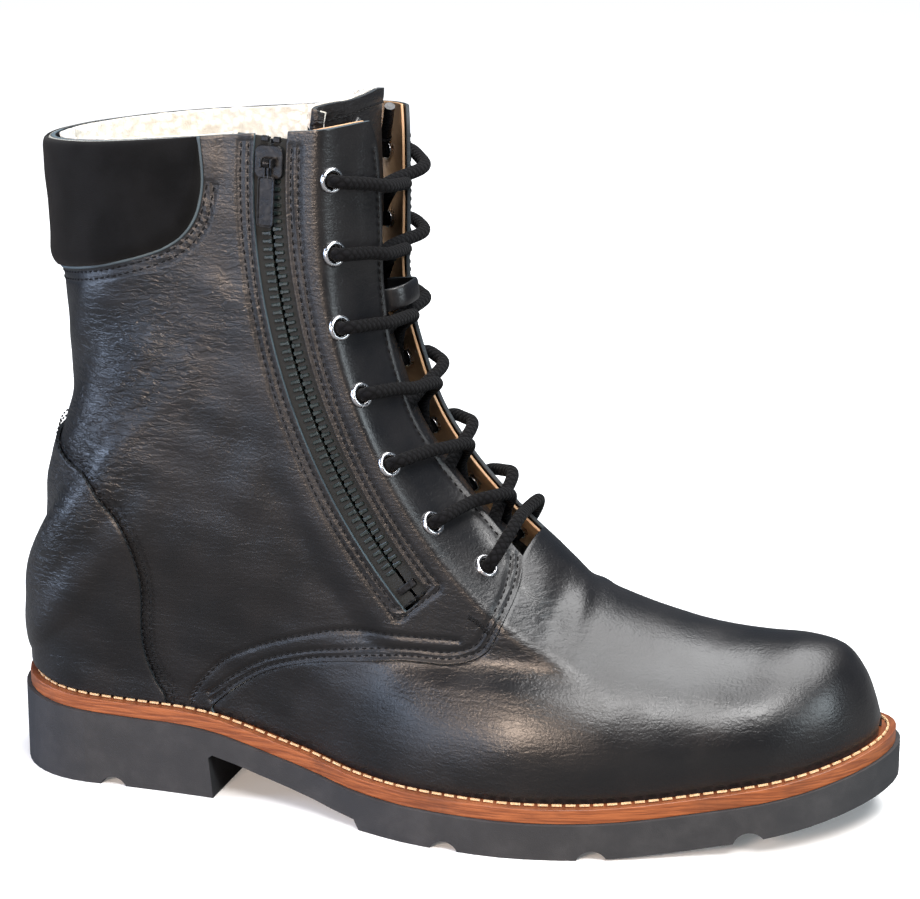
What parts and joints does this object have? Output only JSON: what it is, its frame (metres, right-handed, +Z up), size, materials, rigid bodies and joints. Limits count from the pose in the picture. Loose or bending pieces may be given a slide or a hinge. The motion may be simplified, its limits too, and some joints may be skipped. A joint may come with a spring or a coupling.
{
  "type": "lace-up zip boot",
  "caption": "Right-foot leather ankle boot with a padded collar, side zip, lace eyelets, tongue, leather welt and a heeled rubber sole.",
  "frame": {"origin": "on the floor under the middle of the boot's bounding box", "axes": "+X to the toe, +Y to the inner side of the foot, +Z up"},
  "size_m": [0.3122, 0.1156, 0.2421],
  "materials": {
    "sole_rubber": "matte moulded rubber",
    "welt_leather": "burnished veg-tanned edge",
    "tan_thread": "waxed thread",
    "cork": "pressed cork",
    "spring_steel": "plain steel",
    "board": "fibre board",
    "felt": "felt",
    "black_leather": "satin fine grain",
    "nubuck": "matt nubuck",
    "foam": "foam padding",
    "tan_leather": "smooth lining leather",
    "stiffener": "thermoplastic sheet",
    "wool": "wool pile",
    "zip_tape": "woven tape",
    "zip_tooth": "moulded teeth",
    "zip_metal": "black lacquered metal",
    "gunmetal": "dark nickel plate",
    "lace_cord": "round braided cord",
    "aglet": "lace tip"
  },
  "bodies": {
    "boot": {"outsole": "sole_rubber", "welt": "welt_leather", "welt_stitching": "tan_thread", "cork_filler": "cork", "shank": "spring_steel", "insole_board": "board", "footbed": "felt", "vamp": "black_leather", "lateral_quarter": "black_leather", "medial_quarter": "black_leather", "medial_facing": "black_leather", "heel_counter": "black_leather", "collar_cover": "nubuck", "collar_foam": "foam", "lateral_facing_lining": "tan_leather", "medial_facing_lining": "tan_leather", "tongue": "black_leather", "tongue_lining": "wool", "lace_keeper": "black_leather", "toe_puff": "stiffener", "heel_stiffener": "stiffener", "shaft_lining": "wool", "vamp_lining": "wool", "zip_guard": "black_leather", "zip_tape_front": "zip_tape", "zip_tape_rear": "zip_tape", "zip_teeth_front": "zip_tooth", "zip_teeth_rear": "zip_tooth", "zip_top_stops": "zip_metal", "zip_bottom_stop": "zip_metal", "eyelets_lateral": "gunmetal", "eyelets_medial": "gunmetal", "lace": "lace_cord", "lace_aglets": "aglet"},
    "slider": {"zip_slider": "zip_metal"},
    "pull": {"zip_pull": "zip_metal"}
  },
  "joints": [
    {"name": "zip_travel", "type": "hinge", "parent": "boot", "child": "slider", "pos_m": [0.1575, -0.037, 0.212], "axis": [0, -1, 0], "range_deg": [0, 38.5]},
    {"name": "zip_pull_swing", "type": "hinge", "parent": "slider", "child": "pull", "pos_m": [-0.04722, -0.0399, 0.22273], "axis": [-0.9986, 0, 0.0523], "range_deg": [0, 150]}
  ]
}
